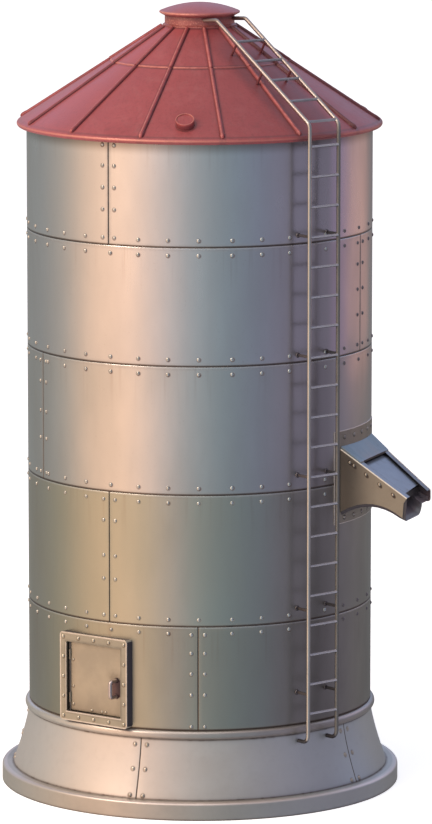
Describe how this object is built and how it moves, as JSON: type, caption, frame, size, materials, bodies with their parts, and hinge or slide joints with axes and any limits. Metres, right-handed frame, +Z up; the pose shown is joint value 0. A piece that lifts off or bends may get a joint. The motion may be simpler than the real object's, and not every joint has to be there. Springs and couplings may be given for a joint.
{
  "type": "riveted steel grain silo",
  "caption": "Cylindrical riveted steel grain silo on a flared skirt, with a ribbed conical roof, a hinged access hatch, a sloping discharge chute and a fixed ladder up to the roof collar.",
  "frame": {"origin": "on the ground at the silo's axis, in the middle of the base plate's underside", "axes": "+Z up along the silo's axis; -Y is the front, towards the picture's camera; +X is the right of the picture, where the chute is"},
  "size_m": [4.341, 4.04, 7.925],
  "materials": {
    "base_plate": "dull mill finish",
    "plinth_ring": "brushed plate",
    "skirt_plate_1": "brushed plate",
    "skirt_plate_2": "brushed plate",
    "skirt_plate_3": "brushed plate",
    "skirt_plate_4": "brushed plate",
    "skirt_plate_5": "brushed plate",
    "base_bead_ring": "brushed plate",
    "floor_plate": "dull mill finish",
    "wall_course_1_right": "weathered brushed plate",
    "wall_course_1_left": "weathered brushed plate",
    "wall_course_2_front": "weathered brushed plate",
    "wall_course_2_back": "weathered brushed plate",
    "wall_course_3_front": "weathered brushed plate",
    "wall_course_3_back": "weathered brushed plate",
    "wall_course_4_right": "darker weathered plate",
    "wall_course_4_left": "darker weathered plate",
    "wall_course_5_right": "darker weathered plate",
    "wall_course_5_left": "darker weathered plate",
    "seam_strap_1": "dull mill finish",
    "seam_strap_2": "dull mill finish",
    "seam_strap_3": "dull mill finish",
    "seam_strap_4": "dull mill finish",
    "eaves_ring": "dull mill finish",
    "roof_lower_tier": "dull dusty red paint",
    "roof_upper_tier": "dull dusty red paint",
    "roof_collar": "dull dusty red paint",
    "roof_cap": "dull dusty red paint",
    "roof_vent": "dull dusty red paint",
    "hatch_frame": "brushed plate",
    "hatch_hinge_pin": "satin steel",
    "chute_flange": "darker weathered plate",
    "chute_near_cheek": "darker weathered plate",
    "chute_far_cheek": "darker weathered plate",
    "chute_top_plate": "weathered brushed plate",
    "chute_cover": "weathered brushed plate",
    "chute_trough": "darker weathered plate",
    "ladder_wall_flight": "satin steel",
    "ladder_roof_flight": "satin steel",
    "hatch_door": "brushed plate",
    "hatch_handle": "satin steel"
  },
  "bodies": {
    "silo": {"base_plate": "base_plate", "plinth_ring": "plinth_ring", "skirt_plate_1": "skirt_plate_1", "skirt_plate_2": "skirt_plate_2", "skirt_plate_3": "skirt_plate_3", "skirt_plate_4": "skirt_plate_4", "skirt_plate_5": "skirt_plate_5", "base_bead_ring": "base_bead_ring", "floor_plate": "floor_plate", "wall_course_1_right": "wall_course_1_right", "wall_course_1_left": "wall_course_1_left", "wall_course_2_front": "wall_course_2_front", "wall_course_2_back": "wall_course_2_back", "wall_course_3_front": "wall_course_3_front", "wall_course_3_back": "wall_course_3_back", "wall_course_4_right": "wall_course_4_right", "wall_course_4_left": "wall_course_4_left", "wall_course_5_right": "wall_course_5_right", "wall_course_5_left": "wall_course_5_left", "seam_strap_1": "seam_strap_1", "seam_strap_2": "seam_strap_2", "seam_strap_3": "seam_strap_3", "seam_strap_4": "seam_strap_4", "eaves_ring": "eaves_ring", "roof_lower_tier": "roof_lower_tier", "roof_upper_tier": "roof_upper_tier", "roof_collar": "roof_collar", "roof_cap": "roof_cap", "roof_vent": "roof_vent", "hatch_frame": "hatch_frame", "hatch_hinge_pin": "hatch_hinge_pin", "chute_flange": "chute_flange", "chute_near_cheek": "chute_near_cheek", "chute_far_cheek": "chute_far_cheek", "chute_top_plate": "chute_top_plate", "chute_cover": "chute_cover", "chute_trough": "chute_trough", "ladder_wall_flight": "ladder_wall_flight", "ladder_roof_flight": "ladder_roof_flight"},
    "hatch_leaf": {"hatch_door": "hatch_door", "hatch_handle": "hatch_handle"}
  },
  "joints": [
    {"name": "hatch_hinge", "type": "hinge", "parent": "silo", "child": "hatch_leaf", "pos_m": [-1.2952, -1.21239, 1.3], "axis": [0, 0, -1], "range_deg": [0, 90]}
  ]
}
